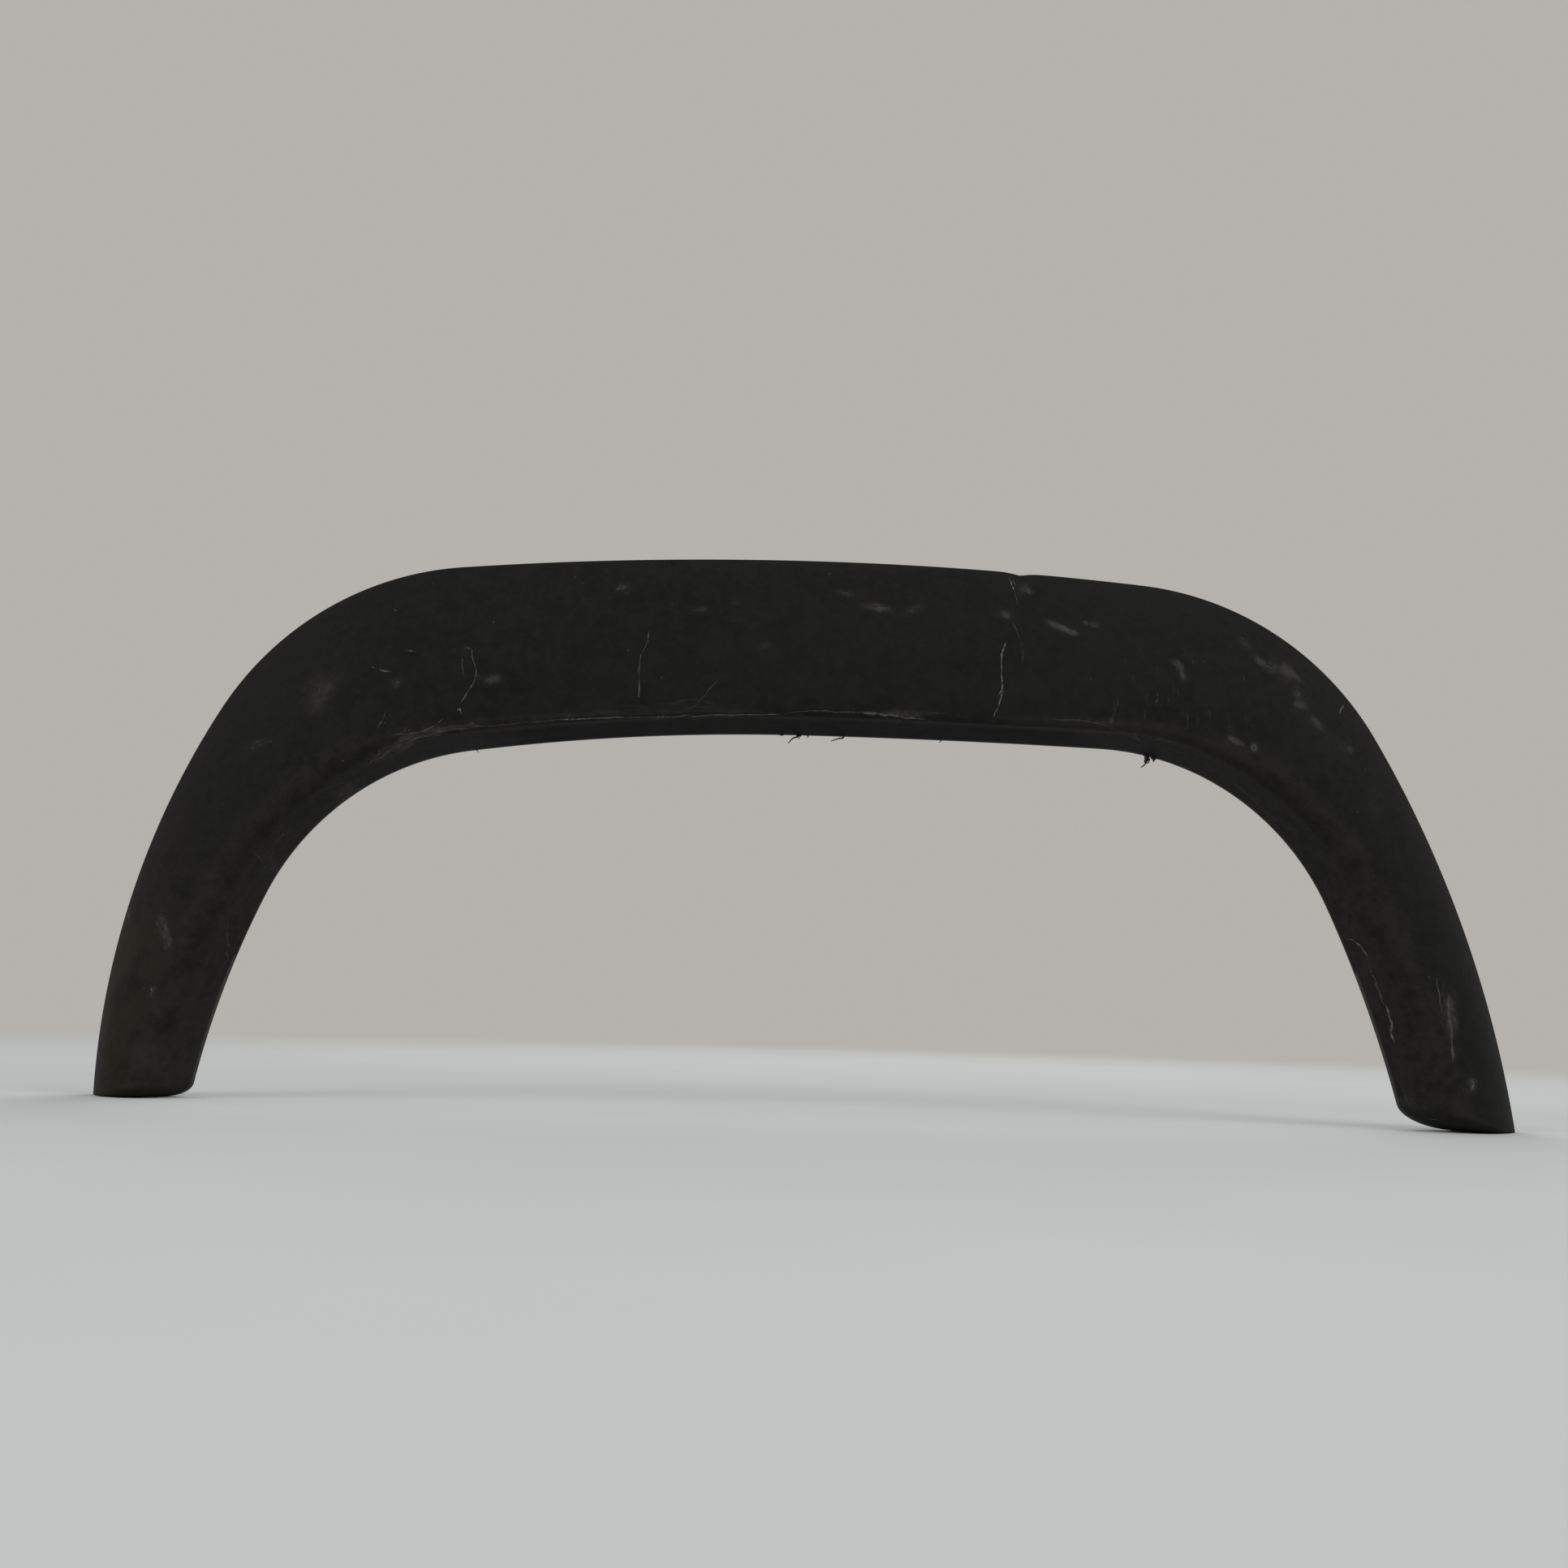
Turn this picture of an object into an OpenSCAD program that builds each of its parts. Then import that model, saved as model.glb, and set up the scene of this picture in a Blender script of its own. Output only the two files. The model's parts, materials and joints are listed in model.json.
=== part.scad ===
// Wheel arch trim: one moulded strip that covers the edge of a car's wheel opening.
// The outer edge and the inner edge are chains of three arcs on each side of the crown.
// Radial sections between the two edges make the convex face, the ridge and the return flange.
// X runs along the span, Z is up, the body stands behind the plane Y = 0 and the face looks to -Y.

/* [Outer edge] */
// From the crown line out to the left foot
left_reach = 462.5; // [430:0.5:500]
// From the crown line out to the right foot
right_reach = 484.5; // [450:0.5:520]
// Height of the outer edge at the crown, above the feet
rise = 380; // [350:1:410]
// Radius of the outer edge over the crown
outer_crown_r = 2510; // [2000:10:3200]
// Radius of the outer edge round each shoulder
outer_shoulder_r = 205; // [180:1:230]
// Slope of the outer edge where a shoulder meets its leg
outer_shoulder_turn = 61; // [56:1:65]
// Radius of the outer edge down the left leg
left_outer_leg_r = 518; // [440:2:700]
// Radius of the outer edge down the right leg
right_outer_leg_r = 727; // [600:1:900]

/* [Inner edge] */
// Width of the strip at the crown
crown_w = 124; // [105:1:140]
// Width of the left leg where its foot corner starts
left_foot_w = 65; // [56:1:80]
// Width of the right leg where its foot corner starts
right_foot_w = 77; // [66:1:92]
// Radius of the inner edge over the left half of the crown
left_inner_crown_r = 1500; // [1200:50:2400]
// Radius of the inner edge over the right half of the crown
right_inner_crown_r = 5700; // [3500:100:7000]
// Radius of the inner edge round each shoulder
inner_shoulder_r = 174.5; // [150:0.5:195]
// Slope of the inner edge where a shoulder meets its leg
inner_shoulder_turn = 66.5; // [60:0.5:70]
// Radius of the inner edge down the left leg
left_inner_leg_r = 572; // [500:1:750]
// Radius of the inner edge down the right leg
right_inner_leg_r = 812; // [650:1:950]

/* [Feet] */
// Width of the rounded inner corner of the left foot
left_corner_w = 16; // [12:1:36]
// Height of the rounded inner corner of the left foot
left_corner_h = 9; // [8:1:20]
// Width of the rounded inner corner of the right foot
right_corner_w = 36; // [20:1:46]
// Height of the rounded inner corner of the right foot
right_corner_h = 16; // [10:1:26]

/* [Section] */
// Thickness of the moulding
wall = 3; // [2.4:0.1:3.6]
// How far the ridge stands off the body at the crown
crown_depth = 48; // [40:1:56]
// How far the ridge stands off the body at the feet
foot_depth = 40; // [32:1:46]
// Height of the straight lip along the outer edge
lip_h = 4; // [3:0.5:6]
// Fullness of the face, where 1 is a flat slope
face_fullness = 2.1; // [1.6:0.1:2.6]
// Outer radius of the ridge over the crown, between the face and the flange
ridge_r = 6; // [5:0.5:8]
// Outer radius of the ridge at the feet
foot_ridge_r = 20; // [12:0.5:22]
// Draft of the return flange over the crown
flange_draft = 6.4; // [3:0.2:10]
// Draft of the return flange at the feet
foot_draft = 20; // [12:0.5:23]
// Share of each side where the ridge and the flange begin to soften
soften_from = 0.2; // [0.1:0.05:0.5]

/* [Dent] */
// Place of the dent in the outer edge, from the crown line
dent_x = 153; // [80:1:200]
// Length of the dent along the edge
dent_length = 14; // [10:1:30]
// Depth of the dent
dent_depth = 1.8; // [0.5:0.1:4]
// How far the dent reaches into the face
dent_reach = 16; // [10:1:40]

/* [Clip towers] */
// Size of a clip tower along the span
tower_w = 24; // [20:1:30]
// Size of a clip tower upwards
tower_h = 20; // [16:1:26]
// Wall of a clip tower
tower_wall = 2; // [1.6:0.1:2.6]
// Thickness of the roof that the clip grips
tower_roof = 2; // [1.6:0.1:2.6]
// Gap between a tower's roof and the body plane
tower_gap = 1.5; // [1:0.1:3]
// Width of the slot for the clip's neck
slot_w = 8; // [6:0.5:10]
// How far the slot runs in from the open side of the tower
slot_in = 15; // [12:0.5:17]

/* [Locating pins] */
// Diameter of a locating pin
pin_d = 8; // [6:0.5:10]
// How far a pin stands past the body plane
pin_out = 11; // [8:1:16]
// Diameter of the boss that carries a pin
pin_boss_d = 15; // [13:1:20]
// Drop of the crown pin from the outer edge
pin_drop = 64; // [54:1:74]
// Distance of the side pin from the crown line
side_pin_x = 200; // [170:1:230]
// Drop of the side pin below the crown pin
side_pin_drop = 6; // [0:1:14]

/* [Gussets] */
// Thickness of a gusset between face and flange
gusset_t = 1.8; // [1.2:0.1:2.4]
// How far a gusset runs down the flange from the top of the ridge
gusset_h = 30; // [20:1:30]
// How far a gusset reaches from the inner edge
gusset_w = 37; // [30:1:44]

/* [Hidden] */
trim_color = [0.13, 0.13, 0.13];
left = -1;
right = 1;
leg_rings = 44;
corner_rings = 6;
dent_rings = 4;
face_steps = 10;
ridge_steps = 6;
round_fn = 48;
// Starts and steps of the values that are solved in turn
first_turn = 5;
least_share = 0.1;
solve_steps = 8;
// Places along each side as shares of the way from the crown to the foot
tower_shares = [0.2, 0.46, 0.68, 0.9];
gusset_shares = [0.06, 0.165, 0.33, 0.57, 0.79];
tower_place = 0.5;
pin_tip = 1;
pin_root = 8;
// How far a shape runs past the face that it is cut to, and past everything in its way
past = 4;
far = 60;
span = left_reach + right_reach;
pin_z = rise - pin_drop;

// Arc chains. An edge is [height, crown r, shoulder r, leg r, crown turn, shoulder turn].
// A turn is the slope of the edge in degrees, 0 at the crown and 90 straight down.
function side_value(side, l, r) = side == left ? l : r;
function limit(low, value, high) = max(low, min(value, high));
function blend(a, b, k) = a + (b - a) * k;
function fall(e, t) =
    e[1] * (1 - cos(min(t, e[4])))
    + e[2] * (cos(e[4]) - cos(limit(e[4], t, e[5])))
    + e[3] * (cos(e[5]) - cos(max(t, e[5])));
function run(e, t) =
    e[1] * sin(min(t, e[4]))
    + e[2] * (sin(limit(e[4], t, e[5])) - sin(e[4]))
    + e[3] * (sin(max(t, e[5])) - sin(e[5]));
function turn_at_z(e, z) = acos(cos(e[5]) - (e[0] - fall(e, e[5]) - z) / e[3]);
function length_to(e, t) = PI / 180 * (
    e[1] * min(t, e[4])
    + e[2] * (limit(e[4], t, e[5]) - e[4])
    + e[3] * (max(t, e[5]) - e[5]));
function turn_at_length(e, l) =
    let (a = length_to(e, e[4]), b = length_to(e, e[5]))
    l < a ? l / e[1] * 180 / PI
    : l < b ? e[4] + (l - a) / e[2] * 180 / PI
    : e[5] + (l - b) / e[3] * 180 / PI;
// The crown's turn is the one that brings the edge down on its foot at the given reach
function solve_edge(e, reach, z, tries = solve_steps) =
    tries == 0 ? e :
    let (t = turn_at_z(e, z),
         rest = reach - e[2] * sin(e[5]) - e[3] * (sin(t) - sin(e[5])))
    solve_edge([e[0], e[1], e[2], e[3], asin(rest / (e[1] - e[2])), e[5]], reach, z, tries - 1);
function outer_edge(side) = solve_edge(
    [rise, outer_crown_r, outer_shoulder_r, side_value(side, left_outer_leg_r, right_outer_leg_r),
     first_turn, outer_shoulder_turn],
    side_value(side, left_reach, right_reach), 0);
function inner_edge(side) = solve_edge(
    [rise - crown_w, side_value(side, left_inner_crown_r, right_inner_crown_r), inner_shoulder_r,
     side_value(side, left_inner_leg_r, right_inner_leg_r), first_turn, inner_shoulder_turn],
    side_value(side, left_reach - left_foot_w, right_reach - right_foot_w), corner_h(side));
function corner_h(side) = side_value(side, left_corner_h, right_corner_h);
function corner_w(side) = side_value(side, left_corner_w, right_corner_w);
OUTER = [outer_edge(left), outer_edge(right)];
INNER = [inner_edge(left), inner_edge(right)];

// A station is [side, share, corner]. Share runs from 0 at the crown to 1 at the foot corner,
// and corner from 0 to 90 degrees round the foot corner.
function on_edge(e, side, t) = [side * run(e, t), e[0] - fall(e, t)];
function outer_point(st) =
    let (e = OUTER[st[0] == left ? 0 : 1], z = corner_h(st[0]) * (1 - sin(st[2])))
    on_edge(e, st[0], st[2] > 0 ? turn_at_z(e, z)
        : turn_at_length(e, st[1] * length_to(e, turn_at_z(e, z))));
function inner_point(st) =
    let (e = INNER[st[0] == left ? 0 : 1], h = corner_h(st[0]), t = turn_at_z(e, h))
    st[2] > 0
    ? on_edge(e, st[0], t) + [st[0] * (corner_w(st[0]) * (1 - cos(st[2])) + h * sin(st[2]) / tan(t)),
                              -h * sin(st[2])]
    : on_edge(e, st[0], turn_at_length(e, st[1] * length_to(e, t)));
function ease(s) = s * s * (3 - 2 * s);
// The form of a station's section is [depth, ridge radius, flange draft]
function form_at(st) =
    let (soft = ease(limit(0, (st[1] - soften_from) / (1 - soften_from), 1)))
    [blend(crown_depth, foot_depth, ease(st[1])), blend(ridge_r, foot_ridge_r, soft),
     blend(flange_draft, foot_draft, soft)];

// Section. Its first coordinate runs from the inner edge to the outer edge, its second off the body.
// A section of the foot corner is the full section cut short, where share is the part of the face kept.
// Both of its ends run past the body plane, where the skins are cut off flat.
function face_rise(depth, share) = (depth - lip_h) * (1 - pow(1 - share, face_fullness));
function face_slope(depth, face_w, share) =
    (depth - lip_h) * face_fullness * pow(1 - share, face_fullness - 1) / face_w;
function ridge_offset(form, b) = (b - form[1]) * tan(form[2]) + form[1] / cos(form[2]);
function face_share(w, form, face_w, share = 1, tries = solve_steps) =
    tries == 0 ? share :
    let (a = atan(face_slope(form[0], face_w, share)),
         b = lip_h + face_rise(form[0], share) + form[1] * (1 - cos(a)))
    face_share(w, form, face_w,
        limit(least_share, (w - ridge_offset(form, b) - form[1] * sin(a)) / face_w, 1), tries - 1);
function section(w, full_w, form, inset) =
    let (depth = form[0], r = form[1], draft = form[2],
         face_w = full_w - ridge_offset(form, depth),
         kept = face_share(w, form, face_w),
         end_a = atan(face_slope(depth, face_w, kept)),
         end = [w - kept * face_w, lip_h + face_rise(depth, kept)],
         centre = end - r * [sin(end_a), cos(end_a)])
    concat(
        [[w - inset, -past]],
        [for (i = [0:face_steps])
            let (v = kept * i / face_steps, a = atan(face_slope(depth, face_w, v)),
                 p = [w - v * face_w, lip_h + face_rise(depth, v)] - inset * [sin(a), cos(a)])
            [min(p[0], w - inset), p[1]]],
        [for (i = [1:ridge_steps])
            let (a = 90 - end_a + (90 + end_a - draft) * i / ridge_steps)
            centre + (r - inset) * [cos(a), sin(a)]],
        [[inset / cos(draft) - past * tan(draft), -past]]);

// Rings of points. The hollow's rings are lifted off the end wall of each foot.
function heading(p, q) = (q - p) / norm(q - p);
function dent(x, from_edge) =
    dent_depth * exp(-pow((x - dent_x) / (dent_length / 2), 2) - pow(from_edge / dent_reach, 2));
function ring(st, inset) =
    let (o = outer_point(st), i = inner_point(st), e = heading(i, o),
         base = i - e * inset * (1 - cos(st[2])),
         lift = inset * sin(st[2]),
         full_w = st[2] > 0 ? norm(outer_point([st[0], 1, 0]) - inner_point([st[0], 1, 0]))
             : norm(o - i),
         w = norm(o - base))
    [for (p = section(w, full_w, form_at(st), inset))
        let (x = base[0] + e[0] * p[0])
        [x, -p[1], base[1] + e[1] * p[0] + lift - dent(x, w - p[0])]];
// Stations from the left foot over the crown to the right foot, closer together at the dent
function even_shares(low, high) =
    [for (i = [1:leg_rings]) let (s = i / leg_rings) if (s > low && s < high) s];
function dented_shares() =
    let (l = length_to(OUTER[1], turn_at_z(OUTER[1], corner_h(right))),
         at = dent_x / l,
         zone = dent_length / l)
    concat(even_shares(0, at - zone),
        [for (k = [-dent_rings:dent_rings]) at + k * zone / (dent_rings + 1)],
        even_shares(at + zone, 1), [1]);
function side_stations(side) = concat(
    [for (s = side == right ? dented_shares() : concat(even_shares(0, 1), [1])) [side, s, 0]],
    [for (k = [1:corner_rings]) [side, 1, 90 * k / corner_rings]]);
function reversed(list) = [for (i = [len(list) - 1:-1:0]) list[i]];
STATIONS = concat(reversed(side_stations(left)), [[right, 0, 0]], side_stations(right));

// Closed solid behind a skin set in from the face
module skin_solid(inset) {
    rings = [for (st = STATIONS) ring(st, inset)];
    m = len(rings[0]);
    n = len(rings);
    sides = [for (i = [0:n - 2], j = [0:m - 1])
        let (k = (j + 1) % m) [i * m + j, (i + 1) * m + j, (i + 1) * m + k, i * m + k]];
    ends = [[for (j = [0:m - 1]) j], [for (j = [m - 1:-1:0]) (n - 1) * m + j]];
    polyhedron(points = [for (r = rings) each r], faces = concat(sides, ends));
}
module behind_body_plane() translate([-span, 0, -span]) cube([2 * span, 2 * past, 2 * span]);
// Frame of a section: the plane's two axes are the section's coordinates
module at_section(st) {
    i = inner_point(st);
    e = heading(i, outer_point(st));
    multmatrix([[e[0], 0, e[1], i[0]], [0, -1, 0, 0], [e[1], 0, -e[0], i[1]], [0, 0, 0, 1]])
        children();
}
// Tower with a roof that a clip's neck slides into from the side that faces the crown line
module clip_tower(side, share) {
    st = [side, share, 0];
    c = inner_point(st) + (outer_point(st) - inner_point(st)) * tower_place;
    slot_end = tower_w / 2 - slot_in + slot_w / 2;
    translate([c[0], -tower_gap, c[1]]) mirror([side == right ? 1 : 0, 0, 0])
        difference() {
            translate([-tower_w / 2, -far, -tower_h / 2]) cube([tower_w, far, tower_h]);
            translate([-tower_w / 2 + tower_wall, -far - past, -tower_h / 2 + tower_wall])
                cube([tower_w, far + past - tower_roof, tower_h - 2 * tower_wall]);
            translate([slot_end, past, 0]) rotate([90, 0, 0]) linear_extrude(tower_roof + 2 * past) {
                circle(d = slot_w, $fn = round_fn);
                translate([0, -slot_w / 2]) square([tower_w, slot_w]);
            }
        }
}
// Stiffener in the corner between the face and the flange
module gusset(side, share) {
    st = [side, share, 0];
    form = form_at(st);
    top = form[0];
    foot = top - gusset_h;
    at_section(st) translate([0, 0, -gusset_t / 2]) linear_extrude(gusset_t)
        polygon([[0, foot], [ridge_offset(form, foot), foot], [gusset_w, top - wall], [gusset_w, top],
                 [0, top]]);
}
module at_pins() {
    translate([0, 0, pin_z]) children();
    translate([side_pin_x, 0, pin_z - side_pin_drop]) children();
}
module pin() rotate([-90, 0, 0]) {
    translate([0, 0, -pin_root]) cylinder(d = pin_d, h = pin_root + pin_out - pin_tip, $fn = round_fn);
    translate([0, 0, pin_out - pin_tip])
        cylinder(d1 = pin_d, d2 = pin_d - 2 * pin_tip, h = pin_tip, $fn = round_fn);
}
module pin_boss() translate([0, -tower_gap, 0]) rotate([90, 0, 0])
    cylinder(d = pin_boss_d, h = far, $fn = round_fn);
// What stands in the hollow. It is cut to the hollow, so nothing shows through the face.
module rear_features() {
    for (side = [left, right]) {
        for (s = tower_shares) clip_tower(side, s);
        for (s = gusset_shares) gusset(side, s);
    }
    at_pins() pin_boss();
}
module arch_trim() color(trim_color) translate([0, 0, -pin_z]) {
    difference() {
        skin_solid(0);
        difference() {
            skin_solid(wall);
            rear_features();
        }
        behind_body_plane();
    }
    at_pins() pin();
}
arch_trim();
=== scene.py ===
"""Looks of the wheel arch trim: one moulded strip with its wear, on a plain pale floor.

Sizes are in millimetres and Z is measured from the feet until the meshes are made. The marks on the face
are placed by x and z from the crown pin.
"""
import json
import math

import bmesh
import bpy
import numpy as np
from mathutils import Matrix, Vector
from mathutils.bvhtree import BVHTree

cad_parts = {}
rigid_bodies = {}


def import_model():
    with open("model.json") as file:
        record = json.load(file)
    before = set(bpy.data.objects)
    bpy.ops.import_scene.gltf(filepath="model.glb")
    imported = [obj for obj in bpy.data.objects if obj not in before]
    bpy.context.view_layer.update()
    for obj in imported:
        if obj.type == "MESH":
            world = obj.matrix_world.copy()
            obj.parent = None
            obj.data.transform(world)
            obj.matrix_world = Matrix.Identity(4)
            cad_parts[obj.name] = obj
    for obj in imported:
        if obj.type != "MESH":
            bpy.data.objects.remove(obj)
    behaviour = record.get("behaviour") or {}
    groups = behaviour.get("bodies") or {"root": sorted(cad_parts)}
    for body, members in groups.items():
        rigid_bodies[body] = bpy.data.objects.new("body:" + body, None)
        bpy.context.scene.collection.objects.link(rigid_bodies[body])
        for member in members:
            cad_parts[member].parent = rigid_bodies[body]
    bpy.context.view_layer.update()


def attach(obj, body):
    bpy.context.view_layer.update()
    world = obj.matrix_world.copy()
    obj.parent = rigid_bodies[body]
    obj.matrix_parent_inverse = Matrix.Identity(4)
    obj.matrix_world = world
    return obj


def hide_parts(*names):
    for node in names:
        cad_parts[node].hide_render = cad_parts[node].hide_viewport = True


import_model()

# Sizes of the part
LEFT, RIGHT = -1, 1
REACH = {LEFT: 462.5, RIGHT: 484.5}
RISE = 380.0
OUTER_CROWN_R, OUTER_SHOULDER_R, OUTER_TURN = 2510.0, 205.0, 61.0
OUTER_LEG_R = {LEFT: 518.0, RIGHT: 727.0}
CROWN_W = 124.0
FOOT_W = {LEFT: 65.0, RIGHT: 77.0}
INNER_CROWN_R = {LEFT: 1500.0, RIGHT: 5700.0}
INNER_SHOULDER_R, INNER_TURN = 174.5, 66.5
INNER_LEG_R = {LEFT: 572.0, RIGHT: 812.0}
CORNER_W = {LEFT: 16.0, RIGHT: 36.0}
CORNER_H = {LEFT: 9.0, RIGHT: 16.0}
WALL, CROWN_DEPTH, FOOT_DEPTH, LIP = 3.0, 48.0, 40.0, 4.0
FULLNESS, RIDGE_R, FOOT_RIDGE_R = 2.1, 6.0, 20.0
DRAFT, FOOT_DRAFT, SOFTEN_FROM = math.radians(6.4), math.radians(20), 0.2
DENT_X, DENT_LENGTH, DENT_DEPTH, DENT_REACH = 153.0, 14.0, 1.8, 16.0
TOWER_W, TOWER_H, TOWER_WALL, TOWER_ROOF, TOWER_GAP = 24.0, 20.0, 2.0, 2.0, 1.5
SLOT_W, SLOT_IN = 8.0, 15.0
TOWER_SHARES = (0.2, 0.46, 0.68, 0.9)
PIN_D, PIN_OUT, PIN_TIP, PIN_ROOT, PIN_BOSS_D = 8.0, 11.0, 1.0, 8.0, 15.0
PIN_Z, SIDE_PIN_X, SIDE_PIN_DROP = 316.0, 200.0, 6.0
GUSSET_T, GUSSET_H, GUSSET_W = 1.8, 30.0, 37.0
GUSSET_SHARES = (0.06, 0.165, 0.33, 0.57, 0.79)
LIP_ROUND = 1.1
LEG_RINGS, CORNER_RINGS, DENT_RINGS = 215, 12, 33
FACE_STEPS, RIDGE_STEPS, FLANGE_STEPS = 44, 14, 14
CIRCLE_STEPS = 48
FOOT_Y, FOOT_LIMIT = -60, -55
rng = np.random.default_rng(7)


class Edge:
    """A chain of three arcs from the crown down to one foot."""

    def __init__(self, height, radii, shoulder_turn, reach, z):
        self.height, self.r, self.t2 = height, radii, math.radians(shoulder_turn)
        self.t1 = math.radians(5)
        for _ in range(12):
            t = self.turn_at_z(z)
            rest = reach - radii[1] * math.sin(self.t2) - radii[2] * (math.sin(t) - math.sin(self.t2))
            self.t1 = math.asin(rest / (radii[0] - radii[1]))

    def point(self, t):
        a, b, c = np.minimum(t, self.t1), np.clip(t, self.t1, self.t2), np.maximum(t, self.t2)
        run = (self.r[0] * np.sin(a) + self.r[1] * (np.sin(b) - math.sin(self.t1))
               + self.r[2] * (np.sin(c) - math.sin(self.t2)))
        fall = (self.r[0] * (1 - np.cos(a)) + self.r[1] * (math.cos(self.t1) - np.cos(b))
                + self.r[2] * (math.cos(self.t2) - np.cos(c)))
        return run, self.height - fall

    def turn_at_z(self, z):
        return np.arccos(math.cos(self.t2) - (self.point(self.t2)[1] - z) / self.r[2])

    def length_to(self, t):
        return (self.r[0] * np.minimum(t, self.t1) + self.r[1] * (np.clip(t, self.t1, self.t2) - self.t1)
                + self.r[2] * (np.maximum(t, self.t2) - self.t2))

    def turn_at_length(self, length):
        a, b = self.length_to(self.t1), self.length_to(self.t2)
        return np.where(length < a, length / self.r[0],
                        np.where(length < b, self.t1 + (length - a) / self.r[1],
                                 self.t2 + (length - b) / self.r[2]))


OUTER = {s: Edge(RISE, (OUTER_CROWN_R, OUTER_SHOULDER_R, OUTER_LEG_R[s]), OUTER_TURN, REACH[s], 0)
         for s in (LEFT, RIGHT)}
INNER = {s: Edge(RISE - CROWN_W, (INNER_CROWN_R[s], INNER_SHOULDER_R, INNER_LEG_R[s]), INNER_TURN,
                 REACH[s] - FOOT_W[s], CORNER_H[s]) for s in (LEFT, RIGHT)}


def outer_points(side, share, corner):
    e, h = OUTER[side], CORNER_H[side]
    along = e.turn_at_length(share * e.length_to(e.turn_at_z(h)))
    run, z = e.point(np.where(corner > 0, e.turn_at_z(h * (1 - np.sin(corner))), along))
    return np.stack([side * run, z], -1)


def inner_points(side, share, corner):
    e, w, h = INNER[side], CORNER_W[side], CORNER_H[side]
    t = e.turn_at_z(h)
    run, z = e.point(e.turn_at_length(share * e.length_to(t)))
    out = w * (1 - np.cos(corner)) + h * np.sin(corner) / math.tan(t)
    return np.stack([side * (run + out), z - h * np.sin(corner)], -1)


def ease(k):
    return k * k * (3 - 2 * k)


def rise(value, start, length):
    """0 before the start, 1 after the length, eased between them."""
    return ease(np.clip((value - start) / length, 0, 1))


def form_at(share):
    """Depth, ridge radius and flange draft of the section at each share of a side."""
    soft = rise(share, SOFTEN_FROM, 1 - SOFTEN_FROM)
    return (CROWN_DEPTH + (FOOT_DEPTH - CROWN_DEPTH) * ease(share),
            RIDGE_R + (FOOT_RIDGE_R - RIDGE_R) * soft,
            DRAFT + (FOOT_DRAFT - DRAFT) * soft)


def ridge_offset(form, b):
    return (b - form[1]) * np.tan(form[2]) + form[1] / np.cos(form[2])


def face_rise(depth, v):
    return (depth - LIP) * (1 - (1 - v) ** FULLNESS)


def face_angle(depth, face_w, v):
    return np.arctan((depth - LIP) * FULLNESS * (1 - v) ** (FULLNESS - 1) / face_w)


def section(w, full_w, form, inset):
    """Outlines from the outer edge over the face and the ridge to the inner edge, one row a station."""
    w, full_w = w[:, None], full_w[:, None]
    form = depth, r, draft = [v[:, None] for v in form]
    face_w = full_w - ridge_offset(form, depth)
    kept = np.ones_like(w)
    for _ in range(10):
        a = face_angle(depth, face_w, kept)
        b = LIP + face_rise(depth, kept) + r * (1 - np.cos(a))
        kept = np.clip((w - ridge_offset(form, b) - r * np.sin(a)) / face_w, 0.1, 1)
    end = face_angle(depth, face_w, kept)
    cp = w - kept * face_w - r * np.sin(end)
    cb = LIP + face_rise(depth, kept) - r * np.cos(end)
    if inset:
        p, b = [w - inset], [0 * w]
        v = kept * np.linspace(0, 1, FACE_STEPS // 2 + 1)
    else:
        rows = np.linspace(0, LIP - LIP_ROUND, 4)
        p, b = [w + 0 * rows], [0 * w + rows]
        start = LIP_ROUND * np.cos(face_angle(depth, face_w, 0)) / face_w
        to_p, to_b = w - start * face_w, LIP + face_rise(depth, start)
        for q in (0.25, 0.5, 0.75):
            p.append((1 - q) ** 2 * w + 2 * q * (1 - q) * w + q * q * to_p)
            b.append((1 - q) ** 2 * (LIP - LIP_ROUND) + 2 * q * (1 - q) * LIP + q * q * to_b)
        v = start + (kept - start) * np.linspace(0, 1, FACE_STEPS + 1)
    a = face_angle(depth, face_w, v)
    p.append(np.minimum(w - v * face_w - inset * np.sin(a), w - inset))
    b.append(LIP + face_rise(depth, v) - inset * np.cos(a))
    steps = np.arange(1, RIDGE_STEPS + 1) / RIDGE_STEPS
    a = math.pi / 2 - end + (math.pi / 2 + end - draft) * steps
    p.append(cp + (r - inset) * np.cos(a))
    b.append(cb + (r - inset) * np.sin(a))
    steps = np.arange(1, FLANGE_STEPS + 1) / FLANGE_STEPS
    p.append(p[-1][:, -1:] * (1 - steps) + inset / np.cos(draft) * steps)
    b.append(b[-1][:, -1:] * (1 - steps))
    return np.concatenate(p, 1), np.concatenate(b, 1)


def stations():
    """Side, share and corner of each ring, from the left foot over the crown to the right foot."""
    even = np.arange(1, LEG_RINGS + 1) / LEG_RINGS
    length = OUTER[RIGHT].length_to(OUTER[RIGHT].turn_at_z(CORNER_H[RIGHT]))
    at = DENT_X / length
    zone = np.linspace(at - DENT_REACH / length, at + DENT_REACH / length, DENT_RINGS)
    right = np.concatenate([even[even < zone[0] - 0.001], zone, even[even > zone[-1] + 0.001]])
    turns = np.radians(90) * np.arange(1, CORNER_RINGS + 1) / CORNER_RINGS
    one = np.ones(CORNER_RINGS)
    share = np.concatenate([one, even[::-1], [0], right, one])
    corner = np.concatenate([turns[::-1], 0 * even, [0], 0 * right, turns])
    side = np.concatenate([-np.ones(CORNER_RINGS + LEG_RINGS), np.ones(1 + len(right) + CORNER_RINGS)])
    return side, share, corner


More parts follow.
